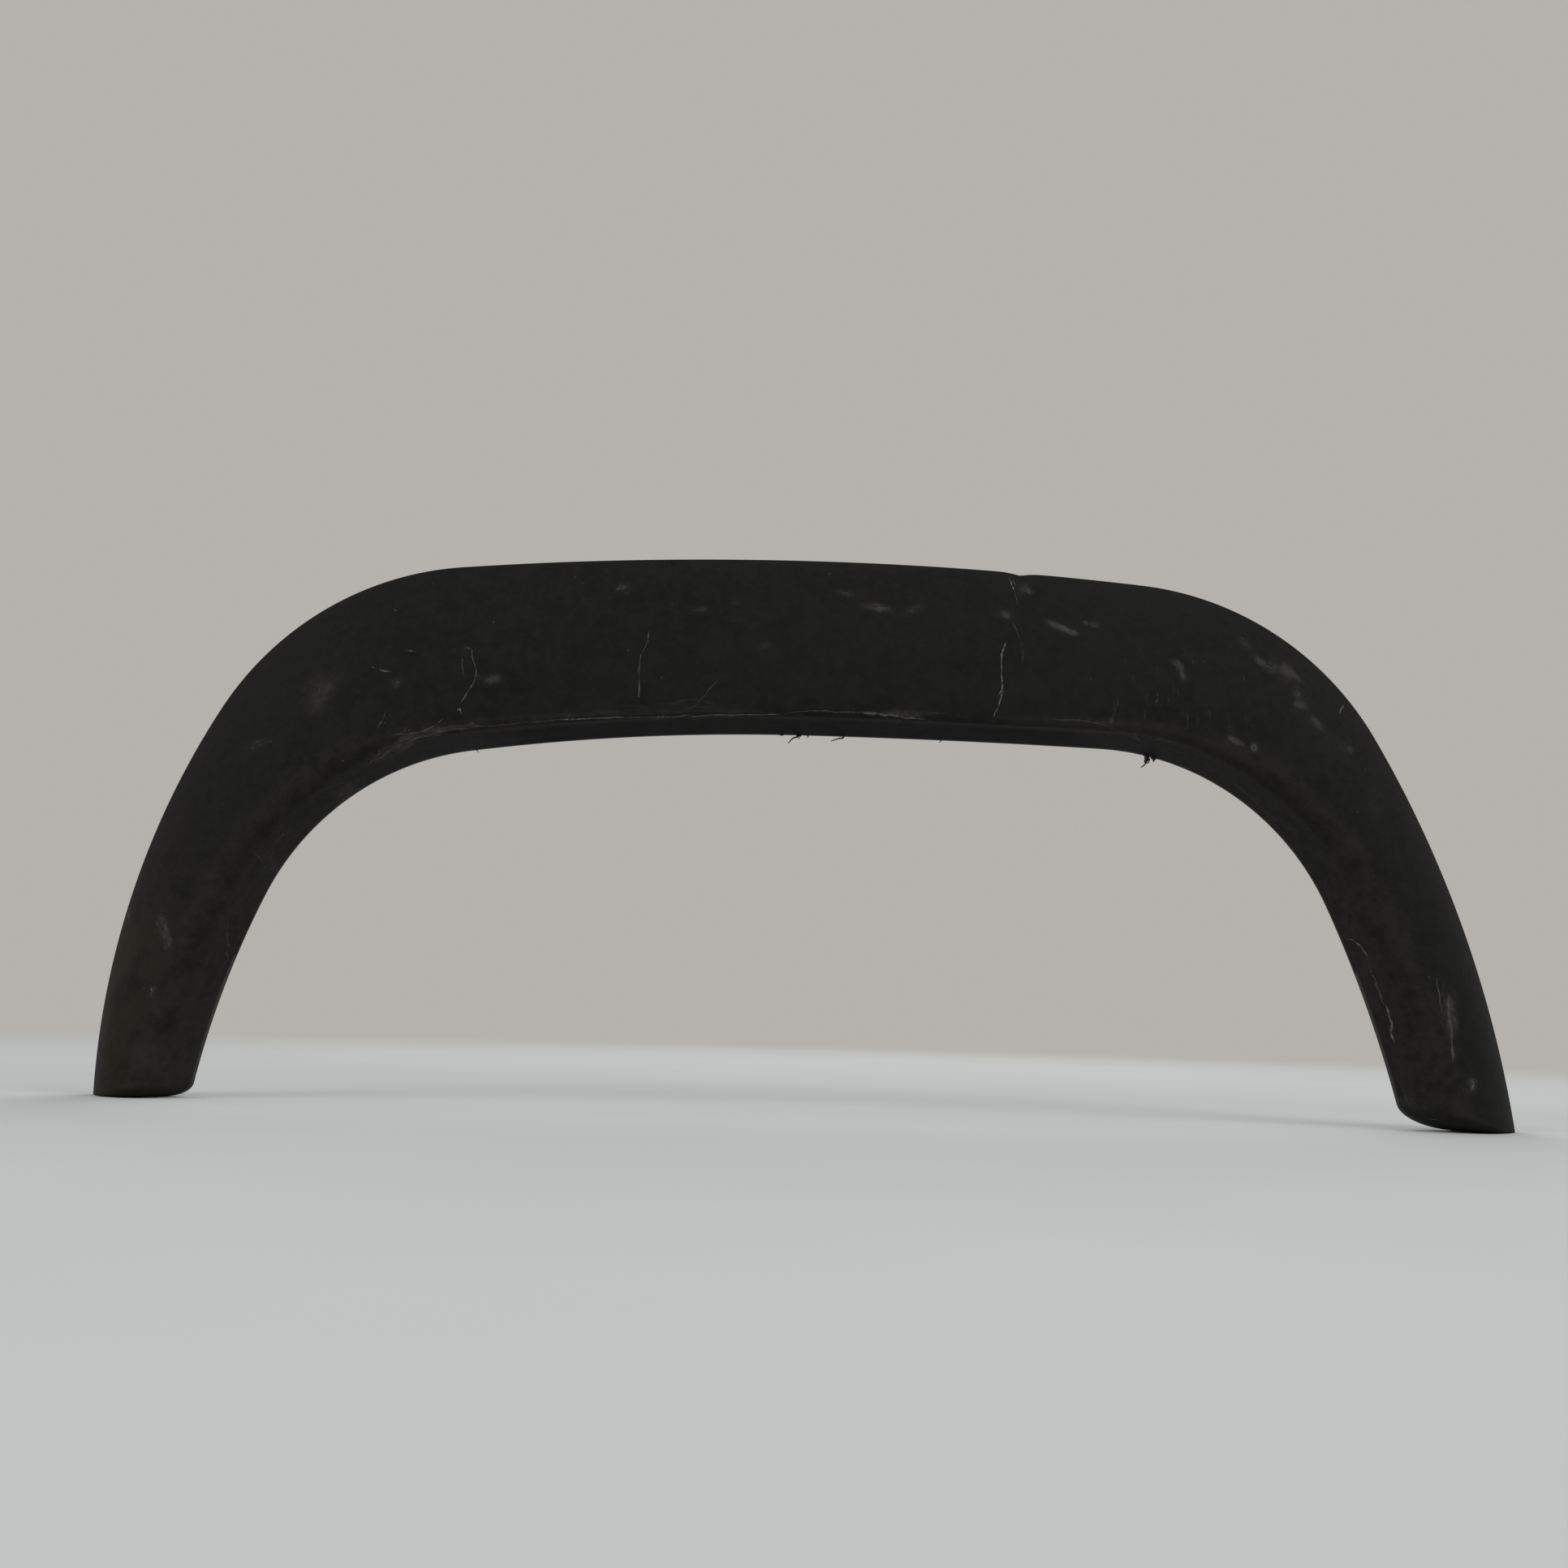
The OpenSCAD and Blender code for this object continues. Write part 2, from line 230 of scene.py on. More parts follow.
def frames(side, share, corner):
    """Outer point, inner point and full width of each station."""
    o, i, full = np.zeros((len(side), 2)), np.zeros((len(side), 2)), np.zeros(len(side))
    for s in (LEFT, RIGHT):
        m = side == s
        o[m], i[m] = outer_points(s, share[m], corner[m]), inner_points(s, share[m], corner[m])
        foot = outer_points(s, np.ones(1), np.zeros(1)) - inner_points(s, np.ones(1), np.zeros(1))
        full[m] = np.where(corner[m] > 0, np.linalg.norm(foot), np.linalg.norm(o[m] - i[m], axis=1))
    return o, i, full


def dent(x, from_edge):
    """How far the dent pushes the outer edge in, with a sharper fold than a smooth dimple."""
    along = np.abs(x - DENT_X) / (DENT_LENGTH / 2)
    return DENT_DEPTH * np.exp(-along ** 1.4) * np.exp(-(from_edge / DENT_REACH) ** 2)


def rings(inset):
    """Points of every ring (station, step, xyz) and each point's way in from the outer edge."""
    side, share, corner = stations()
    o, i, full = frames(side, share, corner)
    e = (o - i) / np.linalg.norm(o - i, axis=1)[:, None]
    base = i - e * (inset * (1 - np.cos(corner)))[:, None]
    w = np.linalg.norm(o - base, axis=1)
    p, b = section(w, full, form_at(share), inset)
    x = base[:, :1] + e[:, :1] * p
    z = base[:, 1:] + e[:, 1:] * p + (inset * np.sin(corner))[:, None]
    from_edge = w[:, None] - p
    z = z - dent(x, from_edge)
    return np.stack([x, -b, z], -1), from_edge


def strip_faces(n, m, flip=False):
    """Quads of a skin of n rings of m points."""
    i, j = np.meshgrid(np.arange(n - 1), np.arange(m - 1), indexing="ij")
    a = (i * m + j).ravel()
    quads = np.stack([a, a + 1, a + m + 1, a + m], 1)
    return quads[:, ::-1] if flip else quads


def shell():
    """The moulding's skin, hollow, rim and foot walls as one closed mesh."""
    outside, from_edge = rings(0)
    inside, _ = rings(WALL)
    n, mo, mi = len(outside), outside.shape[1], inside.shape[1]
    k = n * mo
    faces = [list(map(int, f)) for f in strip_faces(n, mo)]
    faces += [list(map(int, f)) for f in strip_faces(n, mi, True) + k]
    for r in range(n - 1):
        a, b, c, d = r * mo, (r + 1) * mo, k + (r + 1) * mi, k + r * mi
        faces.append([a, b, c, d])
        a, b, c, d = a + mo - 1, b + mo - 1, c + mi - 1, d + mi - 1
        faces.append([d, c, b, a])
    for r, flip in ((0, False), (n - 1, True)):
        lid = [r * mo + j for j in range(mo)]
        floor = [k + r * mi + j for j in range(mi)][::-1]
        rim = [r * mo + mo - 1, r * mo, k + r * mi, k + r * mi + mi - 1]
        for f in (lid[::-1], floor[::-1], rim):
            faces.append(f[::-1] if flip else f)
    return np.concatenate([outside.reshape(-1, 3), inside.reshape(-1, 3)]), faces, outside, from_edge


# What stands in the hollow. Each foot of it ends inside the wall.
def prism(outline, low, high):
    """Closed solid over an outline in x and z, between two y values for each corner."""
    n = len(outline)
    verts = [(x, y, z) for (x, z), y in zip(outline, np.broadcast_to(low, n))]
    verts += [(x, y, z) for (x, z), y in zip(outline, np.broadcast_to(high, n))]
    faces = [list(range(n)), list(range(2 * n - 1, n - 1, -1))]
    faces += [[j, j + n, (j + 1) % n + n, (j + 1) % n] for j in range(n)]
    return np.array(verts, float), faces


def circle(r, n=CIRCLE_STEPS, start=0.0, turn=360.0):
    a = np.radians(start + turn * np.arange(n) / (n if turn == 360 else n - 1))
    return np.stack([r * np.cos(a), r * np.sin(a)], 1)


def new_mesh(name, verts, faces):
    mesh = bpy.data.meshes.new(name)
    mesh.from_pydata([tuple(v) for v in verts], [], faces)
    return mesh


def outward(mesh):
    """Turns every closed shell's faces outward."""
    bm = bmesh.new()
    bm.from_mesh(mesh)
    bmesh.ops.recalc_face_normals(bm, faces=bm.faces)
    bm.to_mesh(mesh)
    bm.free()
    return mesh


def boolean(a, b, operation):
    """Vertices and faces of a boolean of two meshes."""
    scene = bpy.context.scene.collection.objects
    first, second = (bpy.data.objects.new("work", outward(m)) for m in (a, b))
    scene.link(first)
    scene.link(second)
    mod = first.modifiers.new("cut", "BOOLEAN")
    mod.object, mod.operation, mod.solver = second, operation, "EXACT"
    done = first.evaluated_get(bpy.context.evaluated_depsgraph_get()).to_mesh()
    verts = np.array([v.co[:] for v in done.vertices])
    faces = [list(p.vertices) for p in done.polygons]
    bpy.data.objects.remove(first)
    bpy.data.objects.remove(second)
    return verts, faces


def mid_wall():
    """Search tree of the surface in the middle of the wall."""
    points, _ = rings(WALL / 2)
    n, m = points.shape[:2]
    return BVHTree.FromPolygons([tuple(p) for p in points.reshape(-1, 3)],
                                [tuple(map(int, f)) for f in strip_faces(n, m)])


MID = mid_wall()


def wall_y(x, z):
    hit = MID.ray_cast(Vector((x, 60, z)), Vector((0, -1, 0)))[0]
    return hit.y


def tower():
    """A clip tower about its centre, with its open side at +X and its foot at FOOT_Y."""
    w, h, t = TOWER_W / 2, TOWER_H / 2, TOWER_WALL
    walls = [(w, h), (-w, h), (-w, -h), (w, -h),
             (w, -h + t), (-w + t, -h + t), (-w + t, h - t), (w, h - t)]
    end = w - SLOT_IN + SLOT_W / 2
    slot = [(end + x, z) for x, z in circle(SLOT_W / 2, 25, 90, 180)]
    roof = [(w, -h), (w, -SLOT_W / 2)] + slot[::-1] + [(w, SLOT_W / 2), (w, h), (-w, h), (-w, -h)]
    under = -TOWER_ROOF
    return boolean(new_mesh("walls", *prism(walls, FOOT_Y, under / 2)),
                   new_mesh("roof", *prism(roof, under, 0)), "UNION")


def rear_features():
    parts = []
    base, faces = tower()
    for side in (LEFT, RIGHT):
        for share in TOWER_SHARES:
            s, c = np.array([share]), np.zeros(1)
            cx, cz = (inner_points(side, s, c)[0] + outer_points(side, s, c)[0]) / 2
            verts = base * (-side, 1, 1) + (cx, -TOWER_GAP, cz)
            for v in verts:
                if v[1] < FOOT_LIMIT:
                    v[1] = wall_y(v[0], v[2])
            parts.append((verts, [f[::-1] for f in faces] if side == RIGHT else faces))
        for share in GUSSET_SHARES:
            s, c = np.array([share]), np.zeros(1)
            o, i, full = frames(np.array([side]), s, c)
            e = (o[0] - i[0]) / np.linalg.norm(o[0] - i[0])
            form = form_at(share)
            top, low = form[0], form[0] - GUSSET_H
            p, b = (v[0] for v in section(full, full, form_at(s), WALL / 2))
            # The sloping edge runs to where it meets the middle of the wall
            start = ridge_offset(form, low)
            slope = (GUSSET_H - WALL) / (GUSSET_W - start)
            face = slice(1, FACE_STEPS // 2 + 2)
            gap = b[face] - (low + (p[face] - start) * slope)
            meet = int(np.argmax(gap > 0))
            outline = [(p[k], b[k]) for k in range(1 + meet, len(p))
                       if b[k] > low or k < len(p) - FLANGE_STEPS]
            outline.append((float(np.interp(-low, -b[-FLANGE_STEPS:], p[-FLANGE_STEPS:])), low))
            outline.append((start, low))
            n = len(outline)
            verts = [(i[0][0] + e[0] * q - e[1] * t, -r, i[0][1] + e[1] * q + e[0] * t)
                     for t in (-GUSSET_T / 2, GUSSET_T / 2) for q, r in outline]
            parts.append((np.array(verts), prism([(0, 0)] * n, 0, 0)[1]))
    for x, z in ((0, PIN_Z), (SIDE_PIN_X, PIN_Z - SIDE_PIN_DROP)):
        ring = circle(PIN_BOSS_D / 2) + (x, z)
        parts.append(prism([tuple(q) for q in ring], [wall_y(*q) for q in ring], -TOWER_GAP))
        rows = [(PIN_D / 2, -PIN_ROOT), (PIN_D / 2, PIN_OUT - PIN_TIP), (PIN_D / 2 - PIN_TIP, PIN_OUT)]
        verts = np.array([(x + a, y, z + b) for r, y in rows for a, b in circle(r)])
        n = CIRCLE_STEPS
        faces = [[r * n + j, (r + 1) * n + j, (r + 1) * n + (j + 1) % n, r * n + (j + 1) % n]
                 for r in (0, 1) for j in range(n)]
        parts.append((verts, faces + [list(range(n)), list(range(3 * n - 1, 2 * n - 1, -1))]))
    return parts


def merge(parts):
    verts, faces, k = [], [], 0
    for v, f in parts:
        verts.append(v)
        faces += [[j + k for j in face] for face in f]
        k += len(v)
    return np.concatenate(verts), faces


SHARP_FROM, EDGE_ROUND = math.radians(38), 0.0004
shell_verts, shell_faces, skin, _ = shell()
verts, faces = merge([(shell_verts, shell_faces)] + rear_features())
verts = (verts - (0, 0, PIN_Z)) * 0.001
mesh = outward(new_mesh("moulding", verts, faces))
moulding = bpy.data.objects.new("moulding", mesh)
bpy.context.scene.collection.objects.link(moulding)
mesh.polygons.foreach_set("use_smooth", np.ones(len(mesh.polygons), bool))
mesh.set_sharp_from_angle(angle=SHARP_FROM)
rounding = moulding.modifiers.new("small edges", "BEVEL")
rounding.width, rounding.segments, rounding.limit_method = EDGE_ROUND, 2, "ANGLE"
rounding.angle_limit = SHARP_FROM
rounding.use_clamp_overlap = True
moulding.modifiers.new("flat walls", "WEIGHTED_NORMAL").keep_sharp = False


def catmull(points, step):
    """Points at even steps on a smooth curve through the given ones."""
    pts = np.array(points, float)
    pts = np.concatenate([[2 * pts[0] - pts[1]], pts, [2 * pts[-1] - pts[-2]]])
    out = []
    for a, b, c, d in zip(pts, pts[1:], pts[2:], pts[3:]):
        n = max(2, int(np.linalg.norm(c - b) / step))
        t = (np.arange(n) / n)[:, None]
        out.append(0.5 * (2 * b + (c - a) * t + (2 * a - 5 * b + 4 * c - d) * t ** 2
                          + (3 * b - a - 3 * c + d) * t ** 3))
    return np.concatenate(out + [pts[-2:-1]])


def wander(n, size, step=1.0):
    """Smooth random values."""
    raw = rng.normal(size=int(n * step / 4) + 4)
    x = np.linspace(0, len(raw) - 1, n)
    return size * np.interp(x, np.arange(len(raw)), raw)


face_tree = BVHTree.FromPolygons(
    [tuple((p - (0, 0, PIN_Z)) * 0.001) for p in skin.reshape(-1, 3)],
    [tuple(map(int, f)) for f in strip_faces(len(skin), skin.shape[1])])


def on_face(x, z):
    hit, normal = face_tree.ray_cast(Vector((x * 0.001, -0.2, z * 0.001)), Vector((0, 1, 0)))[:2]
    if hit is None:
        return None, None
    return hit, normal if normal.y < 0 else -normal


# Where the scratches are: (points, width, strength, brownness)
SCRATCHES = [
    ([(138.4, 1.5), (134.6, -13.1), (135.3, -30.4), (132.6, -38.9)], 1.0, 0.8, 0.05),
    ([(135.8, -33.8), (133.5, -43), (129.4, -53.3)], 0.9, 0.75, 0.1),
    ([(-101.8, 2.1), (-103.0, -8.0), (-107.0, -20.1), (-106.2, -47.2)], 0.9, 0.34, 0.1),
    ([(-102.0, 1.5), (-102.6, -4.0)], 1.1, 0.5, 0.1),
    ([(-106.6, -34.0), (-106.2, -47.2)], 1.2, 0.5, 0.1),
    ([(-220.2, -13.5), (-219.2, -20.5), (-216.8, -27.5), (-216.2, -33.5), (-218.6, -41.0), (-222.0, -47.5),
      (-225.4, -53.5)], 1.1, 0.55, 0.1),
    ([(-226.4, -18.5), (-225.2, -28.0), (-222.6, -35.0)], 1.2, 0.22, 0.1),
    ([(-226.8, -57.4), (-225.4, -56.4), (-223.3, -59.9)], 1.9, 1.0, 0.0),
    ([(-235.1, -61.8), (-240.7, -68.0), (-250.2, -72.0), (-258.8, -73.9), (-270.6, -74.7)], 1.0, 0.5, 0.2),
    ([(-278.8, 16.2), (-277.4, 15.5)], 3.4, 1.0, 0.0),
    ([(-302.0, -92.4), (-300.5, -93.1)], 3.4, 1.0, 0.0),
    ([(-54.4, -32.6), (-64, -45), (-74.6, -56.0)], 1.4, 0.22, 0.2),
    ([(375.8, -29.8), (372.6, -33.0), (368.7, -38.5)], 1.2, 1.0, 0.0),
    ([(-265.8, -15.2), (-258.0, -16.9)], 1.5, 0.65, 0.7),
    ([(-287.6, -27.1), (-284.8, -29.4)], 1.3, 0.55, 0.0),
    ([(-283.0, -28.6), (-279.4, -30.6), (-272.5, -31.2)], 1.5, 0.5, 0.1),
    ([(-274.2, -58.0), (-274.9, -60.9), (-276.6, -66.5), (-279.0, -71.0)], 1.0, 0.35, 0.1),
    ([(144.6, 54.1), (146.3, 48.3), (147.3, 41.9)], 0.9, 0.95, 0.0),
    ([(146.6, 54.8), (148.0, 50.0), (149.0, 46.0)], 0.7, 0.6, 0.0),
    ([(147.3, 41.9), (148.0, 36.0), (148.4, 29.0)], 1.0, 0.3, 0.1),
    ([(143.7, 17.4), (146.1, 11.2), (148.4, 3.7)], 1.0, 0.25, 0.1),
    ([(148.4, 3.7), (149.5, -7.2), (149.2, -16.0)], 0.8, 0.2, 0.1),
    ([(374.8, -191.2), (375.9, -190.8), (378.0, -192.3), (382.3, -199.6), (384.5, -206.0)], 1.4, 0.8, 0.2),
    ([(384.5, -206.0), (388.4, -216.6), (391.8, -225.8), (395.0, -234.3)], 1.2, 0.6, 0.2),
    ([(395.0, -234.3), (398.1, -243.1), (399.8, -251.9), (402.1, -259.2)], 2.0, 0.9, 0.3),
    ([(407.3, -272.2), (408.4, -276.4)], 1.4, 0.6, 0.2),
    ([(407.5, -287.1), (412.2, -303.5)], 0.9, 0.35, 0.3),
    ([(420.8, -216.5), (422.9, -239.5)], 1.6, 0.35, 0.2),
    ([(428.4, -226.0), (427.9, -238.0), (429.4, -252.0), (429.1, -270.0)], 2.4, 0.45, 0.5),
    ([(186.7, -59.4), (189.6, -60.2), (192.3, -60.2)], 1.0, 0.5, 0.1),
    ([(221.6, -57.0), (228.9, -61.2), (233.2, -61.8)], 1.0, 0.45, 0.1),
    ([(233.2, -61.8), (244.4, -63.1), (254.0, -64.4)], 1.0, 0.45, 0.1),
    ([(283.0, -76.5), (285.4, -79.2)], 1.4, 0.4, 0.1),
    ([(327.3, -107.6), (329.6, -110.0)], 1.2, 0.45, 0.1),
    ([(341.2, -118.6), (343.6, -121.4)], 1.2, 0.45, 0.1),
    ([(-357.5, -154.0), (-355.8, -159.0)], 1.6, 0.3, 0.1),
    ([(-349.0, -147.5), (-344.0, -142.0), (-338.7, -136.9)], 1.4, 0.25, 0.1),
    ([(441.5, -279.7), (442.4, -284.4), (440.7, -288.5)], 1.8, 0.6, 0.2),
    ([(419.4, -307.7), (422.0, -308.1), (424.6, -308.0)], 1.5, 0.9, 0.1),
    ([(-415.7, -243.9), (-414.7, -251.3)], 1.2, 0.4, 0.2),
    ([(-375.1, -198.2), (-377.2, -214), (-379.8, -229.2)], 1.0, 0.25, 0.3),
]
SPECKS, STREAKS = 130, 22
# The strokes in a patch: the faintest patch that has them, how many, how they scatter, and how they look
FAINTEST, LEAST_STROKES, STROKES_BY_SIZE = 0.35, 5, 0.35
SPREAD_ALONG, SPREAD_ACROSS, BEND = 0.42, 0.45, 0.12
STROKE_LENGTH, STROKE_W, STROKE_STRENGTH, STROKE_FADE = (0.15, 0.5), (1.1, 3.0), (0.07, 0.25), 0.42
RUB_FORCE = 1.8
# The streaks' range in x and z, width, strength and length below the middle
STREAK_X, STREAK_Z, STREAK_W, STREAK_STRENGTH, STREAK_DROP = (205, 305), (-55, 0), 1.3, (0.06, 0.16), (3, 7)
SPECK_W, SPECK_STRENGTH, SPECK_BROWN, SPECK_LEAN, SPECK_STEP = (0.7, 1.3), (0.15, 0.7), (0, 0.4), 0.7, 0.6
# The step between a mark's points, how far it wanders, the steps its ends taper over, and its lift in metres
MARK_STEP, WANDER_X, WANDER_Z, WANDER_RATE, TAPER_STEPS, MARK_LIFT = 0.7, 0.28, 0.2, 0.4, 5, 0.00005
# The line along the ridge, on the left and under the crown
RIDGE = [
    (-289.4, -93.8), (-277.8, -87.1), (-259.7, -78.1), (-238.4, -71.7), (-217.0, -68.4),
    (-187.0, -64.9), (-158.0, -61.4), (-109.8, -58.8), (-52.1, -55.6), (-11.7, -54.2), (6.5, -51.9),
    (42.1, -52.0), (61.5, -53.0), (86.0, -55.2)
]
# The ridge's worn line, as parts of RIDGE and one faint line further right
RIDGE_WEAR = [
    (RIDGE[0:5], 2.4, 0.6, 0.6), (RIDGE[4:7], 1.2, 0.4, 0.3), (RIDGE[6:10], 1.5, 1.0, 0.05),
    (RIDGE[9:12], 1.0, 0.4, 0.1), (RIDGE[11:14], 2.0, 0.75, 0.1),
    ([(168.2, -52.7), (194.2, -53.6), (223.7, -60.6), (247.8, -65.4), (274.0, -74.4), (303.1, -91.7),
      (340.3, -122.1)], 1.0, 0.22, 0.2),
]
# Smears, as (x, z, half width along x, half height along z, turn in degrees, strength, brownness)
# RUBBED is the rubbed stretch of the ridge, made of strokes only. PATCHES tint the plastic too.
RUBBED = [
    (-221, -68.5, 13, 1.6, 8, 1.2, .4), (-243, -72.5, 13, 2.0, 16, 1.6, .6),
    (-262, -79.5, 12, 2.6, 26, 2.0, 1), (-278, -87.5, 8, 2.8, 32, 1.6, 1),
    (-262, -76.0, 10, 4, 60, 0.7, .3)
]
PATCHES = [
    (-121.8, 35.5, 8, 5, 0, .6, .1), (-201.7, -35.4, 5, 4, 0, .7, .1),
    (-209.0, -35.6, 8, 4, 0, .4, .1), (-68.3, 19.3, 9, 4, -10, .5, .1), (-44.2, 25.2, 7, 3, 0, .5, .1),
    (-43.1, 12.3, 7, 3, 0, .4, .1), (-22.8, -6.8, 8, 4, 10, .4, .1), (29.9, 36.3, 8, 3, -10, .7, .1),
    (51.5, 25.0, 13, 4.2, -8, .65, .35), (78.0, 24.5, 9, 4.0, 32, .55, .35),
    (139.6, 24.0, 8, 6, 0, .38, .1), (140.0, 21.5, 3, 2, -20, .7, .1),
    (154.4, 45.0, 5, 5, -40, .8, .0), (158.0, 41.5, 2.4, 1.4, -40, .9, .0),
    (171.0, 16.6, 6, 3, -25, .8, .1), (179.3, 12.4, 8, 2.2, -24, 1.3, .1),
    (184.5, 10.0, 3, 1.2, -10, 1.0, .1), (194.5, 18.2, 3, 2, -20, .8, .1),
    (200.5, 16.6, 3, 1.8, 0, .8, .1), (252.8, -9.8, 5, 3, -30, .6, .1),
    (256.4, -17.5, 2.6, 7, 14, .9, .1), (268.8, -27.2, 5, 7, 0, .3, .1),
    (304.8, 7.4, 8, 6, -25, .45, .1), (313.5, -4.2, 4, 3, -50, .8, .1),
    (322.5, -10.0, 10, 5.5, -24, .45, .35), (328.0, -4.5, 10, 8, -30, .34, .4),
    (334.3, -10.5, 5, 6, -20, .6, .9), (340.5, -15.0, 5, 2.6, -35, .7, .2),
    (338.4, -28.5, 6, 9, 0, .5, .2), (338.1, -36.0, 4.4, 2.6, 10, .5, .1),
    (349.8, -48.4, 7.5, 3, -45, .65, .1), (288.4, -55.0, 3.4, 7, 14, .5, .1),
    (291.2, -63.9, 6, 2, -26, 1.3, .0), (303.1, -67.6, 2.6, 3.2, 10, 1.5, .0),
    (372.3, -63.9, 3, 2, 20, .7, .1), (366.0, -66.0, 14, 10, -45, .34, .2),
    (-360.5, -83.0, 10, 5, 10, .5, .3), (-306.0, -110.5, 13, 4, 44, .8, .2),
    (-317.7, -40.4, 15, 12, 60, .42, 1), (-322.0, -58.0, 9, 10, 0, .35, .8),
    (-352.6, -160.2, 5, 12, -20, .4, .3), (388.5, -106.7, 12, 26, 15, .3, .2),
    (-222.9, -13.6, 1.6, 1.6, 0, .8, .1), (-269.3, -39.3, 5, 5, 60, .6, .1),
    (-413.0, -203.0, 6, 14, 30, .45, .2), (-408.0, -214.0, 4, 9, 16, .5, .2),
    (-415.0, -247.0, 3, 5, 0, .7, .2), (-445.9, -196.4, 2.5, 3, 0, 1.2, 1),
    (429.0, -238, 6, 20, 4, .55, .3), (441.5, -284, 5, 6, 0, .6, .35), (428, -280, 22, 34, 12, .2, .2),
    (411, -300, 9, 8, 0, .4, .2), (70, -52, 24, 3, 0, .6, .1), (-85, -55, 70, 3, 3, .35, .1),
    (340, -60, 22, 26, 0, .22, .2), (-410, -290, 22, 16, 0, .3, 1), (-221, -67.8, 14, 1.8, 8, .5, .3),
    (-243, -71.8, 13, 2.3, 16, .8, .5), (-262, -78.8, 11, 2.8, 26, 1.0, .8),
    (-278, -86.6, 8, 3.0, 32, .8, .9),
]


def add_attribute(target, name, values):
    target.attributes.new(name, "FLOAT", "POINT").data.foreach_set("value", np.asarray(values, np.float32))


def lies_on_face(points):
    return all(on_face(*p)[0] for p in points)


def smears():
    """Short strokes along each patch and the rubbed stretch: (points, width, strength, brownness, fade)."""
    out = []
    for x, z, rx, rz, turn, strength, tint, force in (
            [p + (1,) for p in PATCHES] + [p + (RUB_FORCE,) for p in RUBBED]):
        long, short, turn = (rx, rz, turn) if rx >= rz else (rz, rx, turn + 90)
        along = np.array([math.cos(math.radians(turn)), math.sin(math.radians(turn))])
        across = np.array([-along[1], along[0]])
        count = int(strength * (LEAST_STROKES + STROKES_BY_SIZE * rx * rz)) if strength >= FAINTEST else 0
        for _ in range(count):
            middle = ((x, z) + along * rng.normal(0, SPREAD_ALONG) * long
                      + across * rng.normal(0, SPREAD_ACROSS) * short)
            half = long * rng.uniform(*STROKE_LENGTH)
            points = [middle - along * half, middle + across * rng.normal(0, BEND) * half,
                      middle + along * half + across * rng.normal(0, BEND) * half]
            if lies_on_face(points):
                out.append((points, rng.uniform(*STROKE_W),
                            force * strength * rng.uniform(*STROKE_STRENGTH), tint, STROKE_FADE))
    return out


def streaks():
    """Faint upright streaks on the right of the crown."""
    out = []
    for x, z in zip(rng.uniform(*STREAK_X, STREAKS), rng.uniform(*STREAK_Z, STREAKS)):
        line = [(x, z + 5), (x + 0.5, z), (x, z - rng.uniform(*STREAK_DROP))]
        if lies_on_face(line):
            out.append((line, STREAK_W, rng.uniform(*STREAK_STRENGTH), 0, 0.0))
    return out


def specks():
    """Small specks all over the face."""
    out = []
    rings_at = rng.integers(20, len(skin) - 20, SPECKS)
    for ring, step in zip(rings_at, rng.integers(8, 8 + FACE_STEPS, SPECKS)):
        x, _, z = skin[ring, step] - (0, 0, PIN_Z)
        line = [(x, z), (x + rng.uniform(-SPECK_LEAN, SPECK_LEAN), z - SPECK_STEP),
                (x + rng.uniform(-SPECK_LEAN, SPECK_LEAN), z - 2 * SPECK_STEP)]
        if lies_on_face(line):
            out.append((line, rng.uniform(*SPECK_W), rng.uniform(*SPECK_STRENGTH),
                        rng.uniform(*SPECK_BROWN), 0.0))
    return out


def patch_values(x, z):
    """Strength and brownness of the patches at each point, given in millimetres from the crown pin."""
    total, brown = np.zeros(len(x)), np.zeros(len(x))
    for px, pz, rx, rz, turn, strength, tint in PATCHES:
        c, s = math.cos(math.radians(turn)), math.sin(math.radians(turn))
        u, v = (x - px) * c + (z - pz) * s, (z - pz) * c - (x - px) * s
        here = strength * np.exp(-((u / rx) ** 2 + (v / rz) ** 2))
        total += here
        brown += here * tint
    return total, brown


def shown_values(co):
    """1 for the points of the face, 0 for the back and the hollow."""
    shown = np.zeros(len(co))
    for n, p in enumerate(co):
        if p[1] < -0.002 and (face_tree.find_nearest(Vector(p))[3] or 0) < 0.0002:
            shown[n] = 1
    return shown


def flank_values():
    """Painted light and shade on the flank inside the ridge, for each point of the skin.

    It is -1 where the flange is painted darker as shade, under the crown, where the ridge itself is painted
    a little paler as light, and 1 where the flank is painted paler as light, beside the legs. It goes up to 2
    where the ridge is painted paler still as light, at the shoulders. Steps are counted from where the face
    ends.
    """
    side, share = (v[:, None] for v in stations()[:2])
    past = np.arange(skin.shape[1]) - (skin.shape[1] - RIDGE_STEPS - FLANGE_STEPS)
    beside = rise(share, 0.28, 0.3)
    legs, crown = np.clip(2 * beside - 1, 0, 1), np.clip(1 - 2 * beside, 0, 1)
    on_ridge = rise(past, -2, 6) * (1 - rise(past, 9, 5))
    pale = rise(past, -3, 5) * (1 - rise(past, 12, 4))
    shoulders = rise(share, 0.2, 0.18) * (1 - rise(share, 0.42, 0.16)) * np.where(side == RIGHT, 1.6, 0.8)
    # Painted light beside the legs; painted shade under the crown, with the ridge there painted a little
    # paler
    painted_light, painted_crown_light_and_shade = rise(past, -11, 16), 0.6 * on_ridge - rise(past, 11, 6)
    return (painted_light * legs + painted_crown_light_and_shade * crown + shoulders * pale).ravel()


def olive_values(co):
    """The outer half of the left leg is tinged olive."""
    return np.clip((-co[:, 0] - 0.372) / 0.06, 0, 1) * np.clip((-0.12 - co[:, 2]) / 0.08, 0, 1)


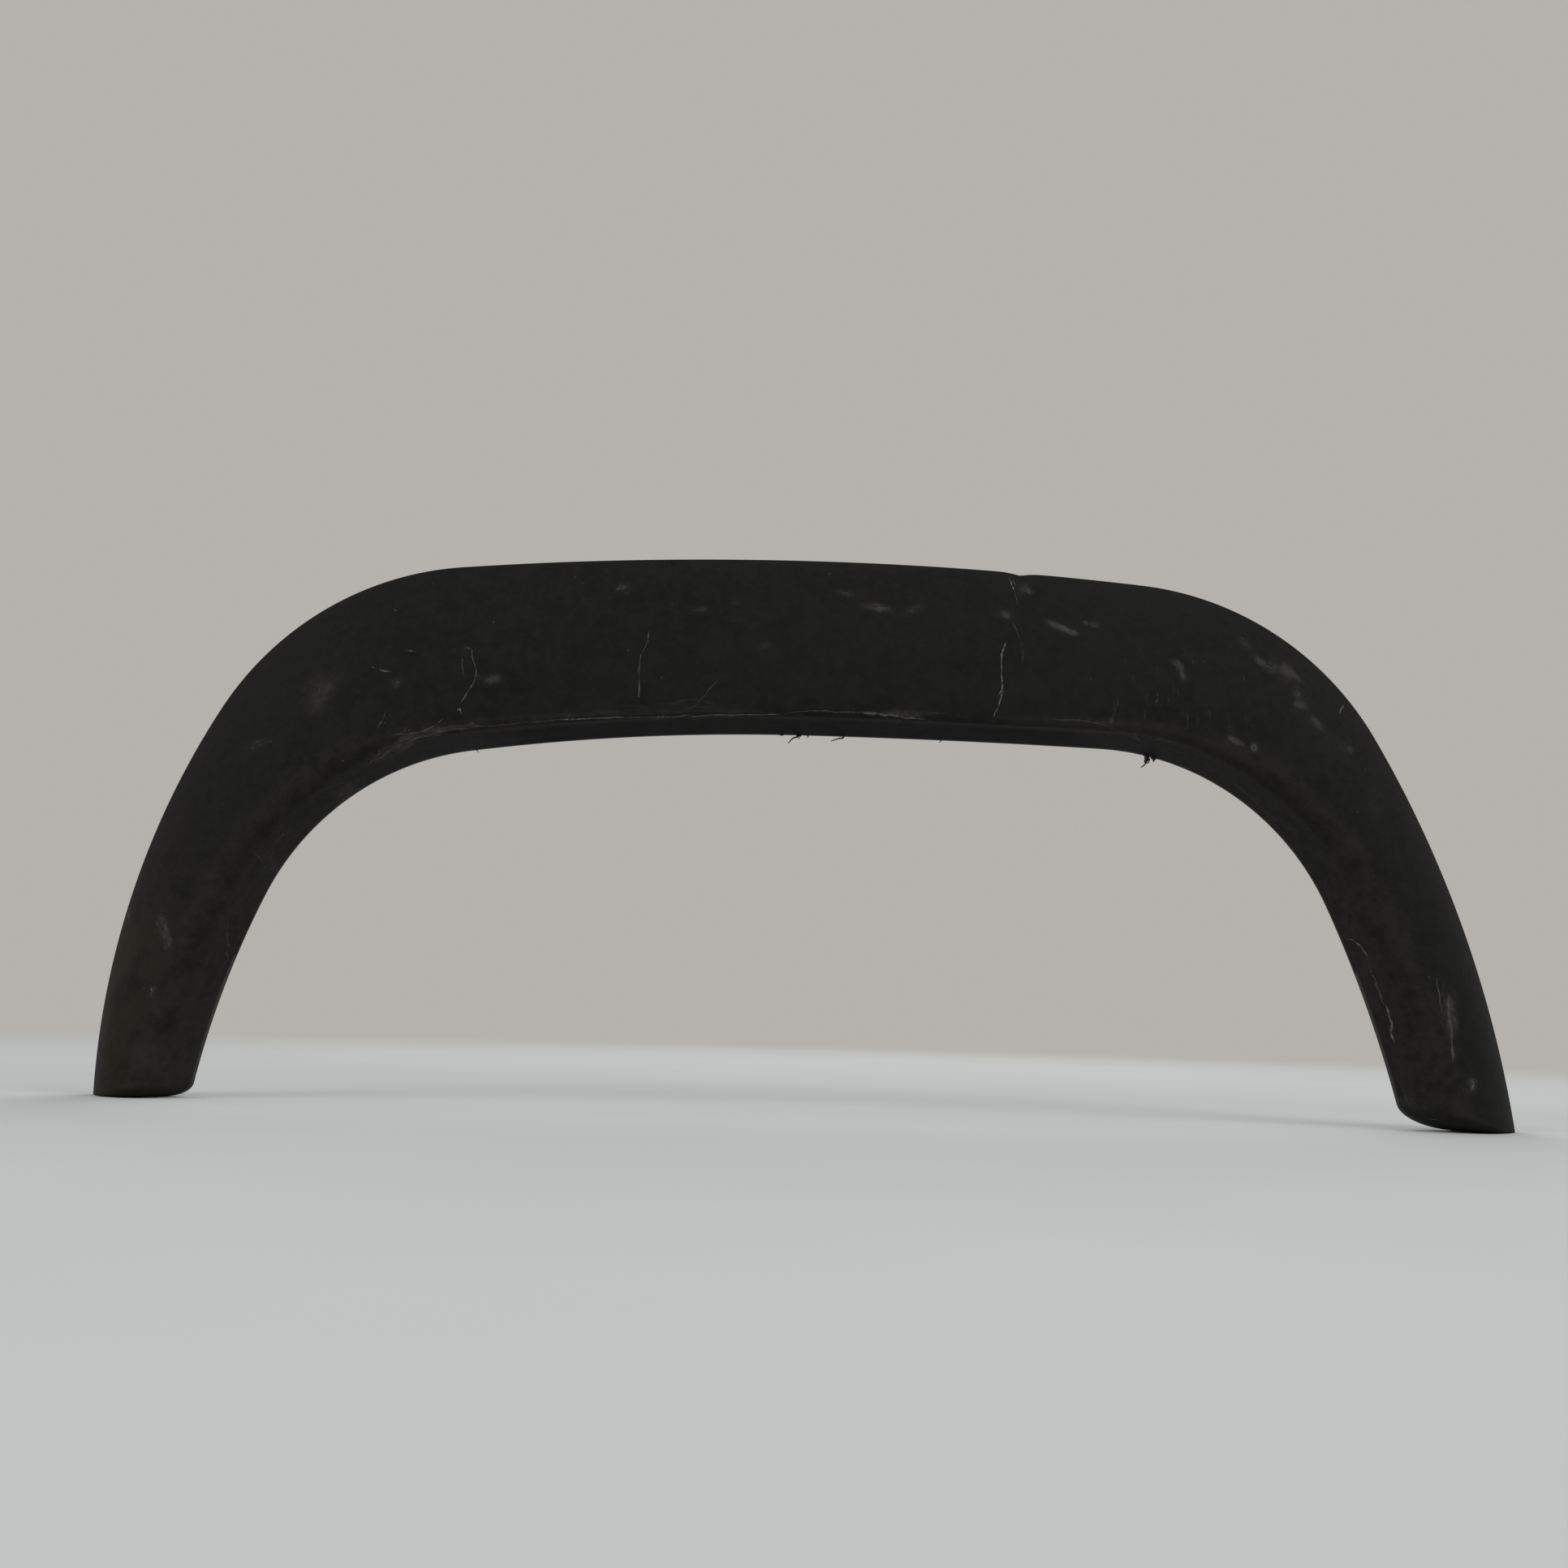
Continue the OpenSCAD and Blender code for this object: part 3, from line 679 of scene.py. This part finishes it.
co = np.zeros(len(mesh.vertices) * 3)
mesh.vertices.foreach_get("co", co)
co = co.reshape(-1, 3)
total, brown = patch_values(co[:, 0] * 1000, co[:, 2] * 1000)
shown = shown_values(co)
# The flank attribute holds painted light and shade on the flank, ridge and crown flange
flank = np.zeros(len(co))
flank[:skin.shape[0] * skin.shape[1]] = flank_values()
for name, values in (("scuff", total * shown), ("brown", brown * shown), ("face", shown), ("flank", flank),
                     ("olive", shown * olive_values(co))):
    add_attribute(mesh, name, values)


def scratch_strips():
    """All marks as narrow strips that lie on the face."""
    verts, faces, uvs, strengths, browns = [], [], [], [], []
    marks = [mark + (0.0,) for mark in SCRATCHES + RIDGE_WEAR] + smears() + streaks() + specks()
    for points, width, strength, brown, fading in marks:
        line = catmull(points, MARK_STEP)
        n = len(line)
        line = line + np.stack([wander(n, WANDER_X, WANDER_RATE), wander(n, WANDER_Z, WANDER_RATE)], 1)
        ends = np.minimum(np.arange(n), np.arange(n)[::-1])
        taper = np.clip(ends / TAPER_STEPS, 0.15, 1)
        half = width / 2 * taper * np.clip(1 + wander(n, 0.35), 0.3, 1.9)
        fade = strength * np.clip((ends + 1) / (fading * n + 1), 0, 1)
        rows, start = [], float(rng.uniform(0, 50))
        for k, (x, z) in enumerate(line):
            hit, normal = on_face(x, z)
            if hit is not None:
                rows.append((k, hit, normal))
        if len(rows) < 2:
            raise ValueError("a scratch lies off the face: %s" % (points,))
        befores, afters = [rows[0]] + rows, rows[1:] + [rows[-1]]
        for (k, hit, normal), (_, before, _), (_, after, _) in zip(rows, befores, afters):
            across = normal.cross(after - before).normalized() * half[k] * 0.001
            base = len(verts)
            for side in (-1, 0, 1):
                verts.append(hit + across * side + normal * MARK_LIFT)
                uvs.append((start + k * MARK_STEP, side))
                strengths.append(fade[k])
                browns.append(brown)
            if k != rows[-1][0]:
                faces += [[base, base + 3, base + 4, base + 1], [base + 1, base + 4, base + 5, base + 2]]
    strip = new_mesh("scratches", verts, faces)
    layer = strip.uv_layers.new(name="flow")
    for loop in strip.loops:
        layer.data[loop.index].uv = uvs[loop.vertex_index]
    add_attribute(strip, "strength", strengths)
    add_attribute(strip, "brown", browns)
    obj = bpy.data.objects.new("scratches", strip)
    bpy.context.scene.collection.objects.link(obj)
    return obj


# Torn flash on the inner edge: (x, [offsets of each shred's points], width)
SHREDS = [
    (1.5, [(0, 0), (-2.2, -1.8), (-4.6, -2.9), (-6.4, -4.8), (-7.8, -6.4)], 1.3),
    (1.2, [(0, 0), (-0.9, -1.2), (-1.8, -2.2)], 2.6),
    (3.0, [(0, 0), (-1.4, -1.6), (-1.8, -3.4)], 1.2),
    (-9.0, [(0, 0), (-1.6, -0.9), (-3.4, -0.7)], 1.0),
    (6.5, [(0, 0), (1.2, -1.2), (0.4, -2.1)], 1.1),
    (32.5, [(0, 0), (-1.2, -1.6), (-3.8, -2.0), (-6.4, -2.9), (-9.0, -3.9)], 1.2),
    (99.7, [(0, 0), (-0.6, -1.4), (-1.6, -2.0)], 0.9),
    (-221.0, [(0, 0), (0.6, -1.4), (1.6, -2.0)], 0.9),
    (240.8, [(0, 0), (0.5, -1.9), (-0.1, -3.8), (-0.2, -5.8)], 2.8),
    (241.6, [(0, 0), (0.8, -2.2), (-0.2, -4.8), (-1.8, -7.0), (-4.2, -8.8)], 1.5),
    (242.0, [(0, 0), (1.2, -2.2), (1.1, -4.4), (-0.4, -5.9)], 1.3),
    (245.2, [(0, 0), (0.5, -1.4), (1.3, -2.4), (0.9, -3.7)], 2.0),
    (246.6, [(0, 0), (0.6, -1.2), (1.6, -1.8)], 1.2),
]


# The step along a shred, its half thickness, how far it starts inside the edge and in front of the body plane
SHRED_STEP, SHRED_HALF_T, SHRED_ROOT, SHRED_IN = 0.5, 0.45, 0.6, 0.9


def shreds():
    """The shreds as thin four-sided rods that taper and lean."""
    verts, faces = [], []
    rim = skin[:, -1] - (0, 0, PIN_Z)
    over = rim[:, 2] > -150
    for x, offsets, width in SHREDS:
        z = float(np.interp(x, rim[over, 0], rim[over, 2]))
        line = catmull(offsets, SHRED_STEP)
        n, base = len(line), len(verts)
        lean = wander(n, 0.5)
        for k, (a, b) in enumerate(line):
            d = line[min(k + 1, n - 1)] - line[max(k - 1, 0)]
            d = d / (np.linalg.norm(d) + 1e-9)
            half = width / 2 * (1 - 0.6 * k / (n - 1)) * (1 + 0.3 * math.sin(k * 1.7 + x))
            y = -SHRED_IN + lean[k] * k / n
            for s, t in ((-1, -SHRED_HALF_T), (1, -SHRED_HALF_T), (1, SHRED_HALF_T), (-1, SHRED_HALF_T)):
                out = np.array([x + a - d[1] * half * s, y + t, z + SHRED_ROOT + b + d[0] * half * s])
                verts.append(out * 0.001)
            if k:
                p, q = base + 4 * (k - 1), base + 4 * k
                faces += [[p + j, p + (j + 1) % 4, q + (j + 1) % 4, q + j] for j in range(4)]
        faces += [[base + j for j in (3, 2, 1, 0)], [base + 4 * (n - 1) + j for j in range(4)]]
    obj = bpy.data.objects.new("shreds", outward(new_mesh("shreds", verts, faces)))
    bpy.context.scene.collection.objects.link(obj)
    return obj


# Materials
class Nodes:
    """Short calls for building a node tree."""

    def __init__(self, tree):
        self.tree = tree
        tree.nodes.clear()

    def add(self, kind, inputs=(), **settings):
        node = self.tree.nodes.new(kind)
        for key, value in settings.items():
            setattr(node, key, value)
        for key, value in dict(inputs).items():
            if isinstance(value, bpy.types.NodeSocket):
                self.tree.links.new(value, node.inputs[key])
            else:
                node.inputs[key].default_value = value
        return node

    def math(self, operation, a, b=0.0, clamp=False):
        return self.add("ShaderNodeMath", {0: a, 1: b}, operation=operation, use_clamp=clamp).outputs[0]

    def noise(self, vector, scale, detail=3.0, rough=0.55, distort=0.0):
        return self.add("ShaderNodeTexNoise", {"Vector": vector, "Scale": scale, "Detail": detail,
                                               "Roughness": rough, "Distortion": distort}).outputs["Fac"]

    def ramp(self, value, low, high, to_low=0.0, to_high=1.0):
        return self.add("ShaderNodeMapRange", {0: value, 1: low, 2: high, 3: to_low, 4: to_high},
                        interpolation_type="SMOOTHSTEP").outputs[0]

    def mix(self, factor, a, b):
        node = self.tree.nodes.new("ShaderNodeMix")
        node.data_type = "RGBA"
        for key, value in ((0, factor), (6, a), (7, b)):
            if isinstance(value, bpy.types.NodeSocket):
                self.tree.links.new(value, node.inputs[key])
            else:
                node.inputs[key].default_value = value
        return node.outputs[2]

    def attribute(self, name):
        return self.add("ShaderNodeAttribute", attribute_name=name).outputs["Fac"]

    def shows_backdrop(self):
        """1 for the rays that show what lies around the part, 0 for those that light it."""
        rays = self.add("ShaderNodeLightPath").outputs
        seen = self.math("MAXIMUM", rays["Is Camera Ray"], rays["Is Glossy Ray"])
        return self.math("MAXIMUM", seen, rays["Is Transmission Ray"])


def new_material(name):
    material = bpy.data.materials.new(name)
    material.use_nodes = True
    return material, Nodes(material.node_tree)


# Colours of the plastic, what lies on it, and the painted light and shade of its flank
DARK_BLACK, PALE_BLACK = (0.0076, 0.0075, 0.0072, 1), (0.0128, 0.0126, 0.0121, 1)
# Painted shade: the second black on the next line darkens the flange under the crown
WORN_BLACK, PAINTED_SHADE_BLACK = (0.0142, 0.0139, 0.0134, 1), (0.0045, 0.0044, 0.0043, 1)
BACK_BLACK, BACK_DUST = (0.0125, 0.0122, 0.0118, 1), (0.040, 0.038, 0.034, 1)
OLIVE, SCUFFED, DIRT = (0.0205, 0.0186, 0.0125, 1), (0.075, 0.073, 0.069, 1), (0.042, 0.036, 0.024, 1)
# Painted light: the second colour on the next line lightens the flank beside the legs and the ridge
DUST, FLANK_PAINTED_LIGHT = (0.09, 0.088, 0.082, 1), (0.032, 0.030, 0.0275, 1)
SCRATCH_PALE, SCRATCH_BROWN = (0.30, 0.295, 0.285, 1), (0.17, 0.145, 0.105, 1)
BACK_SHINE, FACE_SHINE, GRAIN_DEPTH = 0.4, 0.06, 0.00018


def plastic():
    """The black plastic: mottled and worn on the face, smoother and dusty on the back."""
    material, t = new_material("satin moulding")
    at = t.add("ShaderNodeTexCoord").outputs["Object"]
    broad, cloud = t.noise(at, 7.0, 4.0), t.noise(at, 45.0, 5.0, 0.65)
    fine = t.noise(at, 420.0, 4.0, 0.7)
    grain = t.noise(at, 2600.0, 2.0, 0.6)
    scuff, brown, olive, face, flank = (t.attribute(n) for n in ("scuff", "brown", "olive", "face", "flank"))
    # Streaky, broken edges for the patches
    streaky = t.noise(at, 130.0, 6.0, 0.75, 1.2)
    torn = t.math("ADD", t.math("MULTIPLY", cloud, 0.45), t.math("MULTIPLY", streaky, 0.55))
    core = t.ramp(t.math("ADD", torn, t.math("MULTIPLY", scuff, 0.32)), 0.60, 0.78)
    patch = t.math("MULTIPLY", t.ramp(scuff, 0.05, 0.6),
                   t.math("ADD", t.math("MULTIPLY", core, 0.8), 0.2), clamp=True)
    dirt = t.math("MULTIPLY", t.ramp(brown, 0.05, 0.7), t.ramp(torn, 0.42, 0.62), clamp=True)
    dust = t.math("MULTIPLY", t.ramp(t.noise(at, 900.0, 3.0, 0.75), 0.66, 0.78),
                  t.ramp(broad, 0.42, 0.62), clamp=True)
    blotch = t.noise(at, 150.0, 4.0, 0.7)
    mottle = t.math("ADD", t.math("MULTIPLY", cloud, 0.5), t.math("MULTIPLY", blotch, 0.5))
    black = t.mix(t.ramp(mottle, 0.36, 0.64), DARK_BLACK, PALE_BLACK)
    black = t.mix(t.math("MULTIPLY", t.ramp(broad, 0.35, 0.7), 0.35), black, WORN_BLACK)
    black = t.mix(t.math("MULTIPLY", olive, t.ramp(cloud, 0.3, 0.62), clamp=True), black, OLIVE)
    # Painted light: the flank beside the legs and the ridge at the shoulders and under the crown are painted
    # paler where they lie in shade
    painted_light = t.math("MULTIPLY", t.ramp(flank, 0.0, 1.0), t.ramp(mottle, 0.36, 0.64, 0.15, 0.5))
    painted_light = t.math("ADD", painted_light, t.ramp(flank, 1.0, 2.0, 0.0, 0.35))
    black = t.mix(painted_light, black, FLANK_PAINTED_LIGHT)
    # Painted shade: the flange under the crown is painted darker, and its shine is lowered
    painted_crown_light_and_shade = t.ramp(flank, -1.0, 0.0, 1.0, 0.0)
    black = t.mix(t.math("MULTIPLY", painted_crown_light_and_shade, 0.24), black, PAINTED_SHADE_BLACK)
    colour = t.mix(t.math("MULTIPLY", patch, 0.42, clamp=True), black, SCUFFED)
    colour = t.mix(t.math("MULTIPLY", dirt, 0.3, clamp=True), colour, DIRT)
    colour = t.mix(t.math("MULTIPLY", dust, 0.22), colour, DUST)
    uneven = t.math("ADD", t.math("MULTIPLY", cloud, 0.6), t.math("MULTIPLY", fine, 0.4))
    rough = t.ramp(uneven, 0.3, 0.7, 0.58, 0.72)
    rough = t.math("ADD", rough, t.math("MULTIPLY", patch, 0.2), clamp=True)
    # The back was never weathered: it is smoother and dusty
    back = t.mix(t.ramp(mottle, 0.4, 0.6, 0.1, 0.5), BACK_BLACK, BACK_DUST)
    colour = t.mix(face, back, colour)
    rough = t.math("SUBTRACT", rough, t.math("MULTIPLY", t.math("SUBTRACT", 1.0, face), 0.16))
    shine = t.ramp(face, 0.0, 1.0, BACK_SHINE, FACE_SHINE)
    level = t.math("SUBTRACT", shine, t.math("MULTIPLY", painted_crown_light_and_shade, 0.038), clamp=True)
    raised = t.math("ADD", t.math("MULTIPLY", fine, 0.35), t.math("MULTIPLY", patch, 0.6))
    height = t.math("ADD", t.math("MULTIPLY", grain, 0.35), raised)
    bump = t.add("ShaderNodeBump", {"Height": height, "Strength": 0.55, "Distance": GRAIN_DEPTH}).outputs[0]
    shader = t.add("ShaderNodeBsdfPrincipled", {"Base Color": colour, "Roughness": rough, "Normal": bump,
                                                "Specular IOR Level": level})
    t.add("ShaderNodeOutputMaterial", {"Surface": shader.outputs[0]})
    return material


def scratched():
    """Scratched plastic: paler, broken along its length and clear at its sides."""
    material, t = new_material("scratched moulding")
    flow = t.add("ShaderNodeUVMap", uv_map="flow").outputs[0]
    parts = t.add("ShaderNodeSeparateXYZ", {0: flow})
    across = t.math("ABSOLUTE", parts.outputs[1])
    at = t.add("ShaderNodeTexCoord").outputs["Object"]
    broken = t.ramp(t.noise(flow, 0.35, 4.0, 0.7), 0.32, 0.6)
    tooth = t.ramp(t.noise(at, 1900.0, 3.0, 0.7), 0.35, 0.62, 0.25, 1.0)
    soft = t.math("SUBTRACT", 1.0, t.math("POWER", across, 1.6), clamp=True)
    alpha = t.math("MULTIPLY", t.math("MULTIPLY", soft, broken), tooth)
    alpha = t.math("MULTIPLY", alpha, t.attribute("strength"), clamp=True)
    colour = t.mix(t.attribute("brown"), SCRATCH_PALE, SCRATCH_BROWN)
    shader = t.add("ShaderNodeBsdfPrincipled", {"Base Color": colour, "Roughness": 0.75,
                                                "Specular IOR Level": 0.2})
    clear = t.add("ShaderNodeBsdfTransparent")
    both = t.add("ShaderNodeMixShader", {0: alpha, 1: clear.outputs[0], 2: shader.outputs[0]})
    t.add("ShaderNodeOutputMaterial", {"Surface": both.outputs[0]})
    return material


# Colours around the part, what the floor throws back onto it, and where it turns into the backdrop
BACKDROP = (0.462, 0.447, 0.420, 1)
FLOOR_DARK, FLOOR_PALE = (0.53, 0.543, 0.540, 1), (0.575, 0.588, 0.585, 1)
FLOOR_BOUNCE = (0.36, 0.36, 0.35, 1)
FLOOR_FADE, FLOOR_R = (0.9, 3.2), 12.0


def floor_paint():
    """Pale floor near the part, which runs into the backdrop far from it."""
    material, t = new_material("pale floor")
    at = t.add("ShaderNodeTexCoord").outputs["Object"]
    seen = t.shows_backdrop()
    away = t.add("ShaderNodeVectorMath", {0: at}, operation="LENGTH").outputs["Value"]
    tone = t.mix(t.noise(at, 3.0, 3.0), FLOOR_DARK, FLOOR_PALE)
    tone = t.mix(seen, FLOOR_BOUNCE, tone)
    near = t.add("ShaderNodeBsdfDiffuse", {"Color": tone})
    strength = t.math("ADD", t.math("MULTIPLY", seen, 0.5), 0.5)
    far = t.add("ShaderNodeEmission", {"Color": BACKDROP, "Strength": strength})
    both = t.add("ShaderNodeMixShader", {0: t.ramp(away, *FLOOR_FADE), 1: near.outputs[0], 2: far.outputs[0]})
    t.add("ShaderNodeOutputMaterial", {"Surface": both.outputs[0]})
    return material


mesh.materials.append(plastic())
scratches, torn = scratch_strips(), shreds()
scratches.data.materials.append(scratched())
torn.data.materials.append(mesh.materials[0])
for piece in (moulding, scratches, torn):
    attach(piece, "root")
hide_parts("arch_trim")

# Floor, light and backdrop
rim = circle(FLOOR_R, 96)
floor_mesh = new_mesh("floor", [(x, y, 0) for x, y in rim], [list(range(len(rim)))])
floor = bpy.data.objects.new("floor", floor_mesh)
floor.location = (0, 0, -PIN_Z * 0.001)
bpy.context.scene.collection.objects.link(floor)
floor_mesh.materials.append(floor_paint())


# The lamps, all aimed at one point: (name, place, size, power)
LAMP_AIM = Vector((0, 0, -0.1))
LAMPS = [
    ("front left", (-2.0, -1.7, 1.1), 1.9, 24),
    ("front right", (2.0, -1.6, 1.2), 1.9, 25),
    ("back", (0.4, 2.1, 1.6), 2.4, 24),
]
for name, place, size, power in LAMPS:
    data = bpy.data.lights.new(name, "AREA")
    data.shape, data.size, data.energy = "DISK", size, power
    lamp = bpy.data.objects.new(name, data)
    lamp.location = place
    lamp.rotation_euler = (LAMP_AIM - Vector(place)).to_track_quat("-Z", "Y").to_euler()
    bpy.context.scene.collection.objects.link(lamp)

SKY_STRENGTH = 0.56
world = bpy.data.worlds.new("backdrop")
bpy.context.scene.world = world
world.use_nodes = True
w = Nodes(world.node_tree)
seen = w.shows_backdrop()
shown_sky = w.add("ShaderNodeBackground", {"Color": BACKDROP, "Strength": 1.0})
light_sky = w.add("ShaderNodeBackground", {"Color": (1, 1, 1, 1), "Strength": SKY_STRENGTH})
sky = w.add("ShaderNodeMixShader", {0: seen, 1: light_sky.outputs[0], 2: shown_sky.outputs[0]})
w.add("ShaderNodeOutputWorld", {"Surface": sky.outputs[0]})

# Camera at the photograph's viewing angle
CAMERA_PLACE, CAMERA_TILT, CAMERA_ROLL = (-0.0083, -1.0727, -0.2545), math.radians(98.5), math.radians(1.537)
LENS, SENSOR_W = 36.149, 36.0
lens = bpy.data.cameras.new("camera")
lens.lens, lens.sensor_width = LENS, SENSOR_W
lens.clip_start, lens.clip_end = 0.05, 50
camera = bpy.data.objects.new("camera", lens)
turn = Matrix.Rotation(CAMERA_TILT, 4, "X") @ Matrix.Rotation(CAMERA_ROLL, 4, "Z")
camera.matrix_world = Matrix.Translation(CAMERA_PLACE) @ turn
bpy.context.scene.collection.objects.link(camera)
bpy.context.scene.camera = camera
bpy.context.scene.view_settings.view_transform = "Standard"

bpy.context.view_layer.update()
